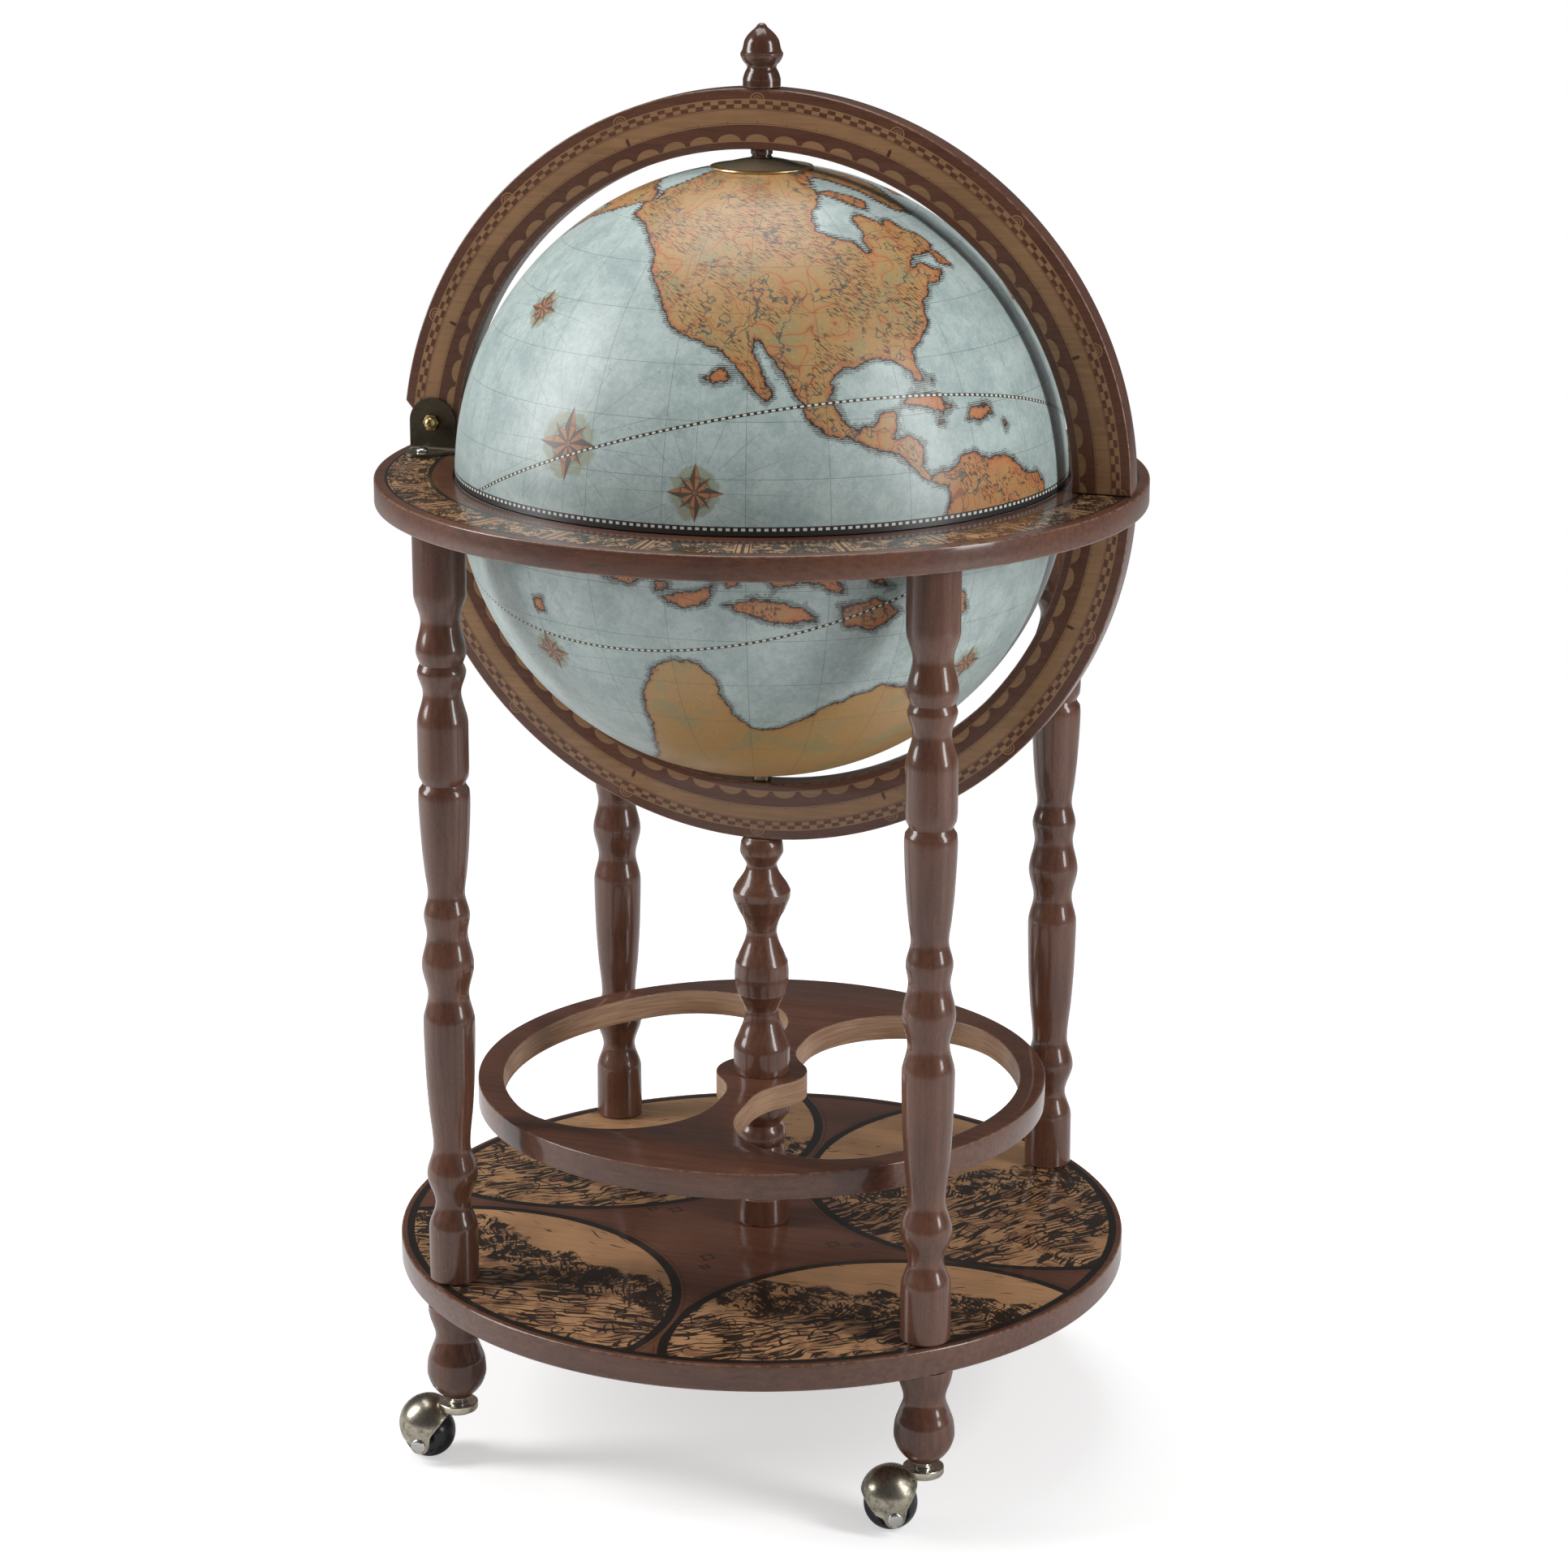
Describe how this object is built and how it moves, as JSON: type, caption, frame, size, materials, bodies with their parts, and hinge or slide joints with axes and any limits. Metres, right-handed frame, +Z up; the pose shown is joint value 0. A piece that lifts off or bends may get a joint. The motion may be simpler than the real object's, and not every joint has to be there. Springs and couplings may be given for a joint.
{
  "type": "globe bar cabinet",
  "caption": "Drinks cabinet shaped as an old terrestrial globe in meridian and horizon rings, on turned legs with two round shelves and ball casters; the upper half globe lifts.",
  "frame": {"origin": "on the floor, under the middle of the globe", "axes": "+Z up, -Y towards the viewer's side with the lid's hinge at -X; the meridian rings lie in the XZ plane"},
  "size_m": [0.505, 0.505, 0.9432],
  "materials": {
    "walnut": "walnut-stained hardwood under satin lacquer",
    "dark_walnut": "dark stained hardwood under gloss lacquer",
    "plain_wood": "plain light wood",
    "globe_paper": "moulded shell covered with printed and lacquered map paper",
    "black_edge": "matt black",
    "brass": "polished",
    "antique_brass": "antique bronze brown",
    "steel": "bright plated",
    "black_plastic": "smooth black"
  },
  "bodies": {
    "stand": {"base_shelf": "walnut", "bottle_shelf": "walnut", "horizon_ring": "walnut", "lower_hemisphere": "globe_paper", "lower_meridian": "walnut", "bowl_pin": "antique_brass", "bowl_nut": "steel", "glass_tray": "plain_wood", "bottle_floor": "plain_wood", "column_lower": "walnut", "column_upper": "walnut", "centre_rod": "steel", "centre_nut": "steel", "hinge_bracket_front": "antique_brass", "hinge_bracket_rear": "antique_brass", "hinge_bolt": "brass", "hinge_cap_nut": "brass", "bracket_screw_front": "steel", "bracket_screw_rear": "steel", "meridian_dowel_left": "plain_wood", "meridian_dowel_right": "plain_wood", "leg_front_left": "walnut", "leg_front_right": "walnut", "leg_rear_left": "walnut", "leg_rear_right": "walnut", "foot_front_left": "walnut", "foot_front_right": "walnut", "foot_rear_left": "walnut", "foot_rear_right": "walnut", "leg_stud_front_left": "steel", "leg_stud_front_right": "steel", "leg_stud_rear_left": "steel", "leg_stud_rear_right": "steel", "caster_stem_front_left": "steel", "caster_stem_front_right": "steel", "caster_stem_rear_left": "steel", "caster_stem_rear_right": "steel"},
    "lid": {"upper_meridian": "walnut", "finial": "dark_walnut", "pole_pin": "antique_brass", "pole_nut": "steel"},
    "lid_globe": {"upper_hemisphere": "globe_paper", "lid_rim": "black_edge", "pole_cap": "brass"},
    "swivel_front_left": {"caster_hood_front_left": "antique_brass", "caster_axle_front_left": "steel"},
    "swivel_front_right": {"caster_hood_front_right": "antique_brass", "caster_axle_front_right": "steel"},
    "swivel_rear_left": {"caster_hood_rear_left": "antique_brass", "caster_axle_rear_left": "steel"},
    "swivel_rear_right": {"caster_hood_rear_right": "antique_brass", "caster_axle_rear_right": "steel"},
    "wheel_front_left": {"caster_wheel_front_left": "black_plastic"},
    "wheel_front_right": {"caster_wheel_front_right": "black_plastic"},
    "wheel_rear_left": {"caster_wheel_rear_left": "black_plastic"},
    "wheel_rear_right": {"caster_wheel_rear_right": "black_plastic"}
  },
  "joints": [
    {"name": "lid_hinge", "type": "hinge", "parent": "stand", "child": "lid", "pos_m": [-0.2264, 0, 0.6752], "axis": [0, -1, 0], "range_deg": [0, 94]},
    {"name": "globe_spin", "type": "hinge", "parent": "lid", "child": "lid_globe", "pos_m": [0, 0, 0.6543], "axis": [0, 0, 1], "continuous": true},
    {"name": "swivel_turn_front_left", "type": "hinge", "parent": "stand", "child": "swivel_front_left", "pos_m": [-0.1615, -0.1615, 0.0392], "axis": [0, 0, 1], "continuous": true},
    {"name": "swivel_turn_front_right", "type": "hinge", "parent": "stand", "child": "swivel_front_right", "pos_m": [0.1615, -0.1615, 0.0392], "axis": [0, 0, 1], "continuous": true},
    {"name": "swivel_turn_rear_left", "type": "hinge", "parent": "stand", "child": "swivel_rear_left", "pos_m": [-0.1615, 0.1615, 0.0392], "axis": [0, 0, 1], "continuous": true},
    {"name": "swivel_turn_rear_right", "type": "hinge", "parent": "stand", "child": "swivel_rear_right", "pos_m": [0.1615, 0.1615, 0.0392], "axis": [0, 0, 1], "continuous": true},
    {"name": "wheel_roll_front_left", "type": "hinge", "parent": "swivel_front_left", "child": "wheel_front_left", "pos_m": [-0.1827, -0.16132, 0.0175], "axis": [-0.0086, -0.9877, -0.1564], "continuous": true},
    {"name": "wheel_roll_front_right", "type": "hinge", "parent": "swivel_front_right", "child": "wheel_front_right", "pos_m": [0.14229, -0.17046, 0.0175], "axis": [0.4174, -0.8951, -0.1564], "continuous": true},
    {"name": "wheel_roll_rear_left", "type": "hinge", "parent": "swivel_rear_left", "child": "wheel_rear_left", "pos_m": [-0.18238, 0.15782, 0.0175], "axis": [0.1715, -0.9727, -0.1564], "continuous": true},
    {"name": "wheel_roll_rear_right", "type": "hinge", "parent": "swivel_rear_right", "child": "wheel_rear_right", "pos_m": [0.14103, 0.16699, 0.0175], "axis": [-0.2556, -0.954, -0.1564], "continuous": true}
  ]
}
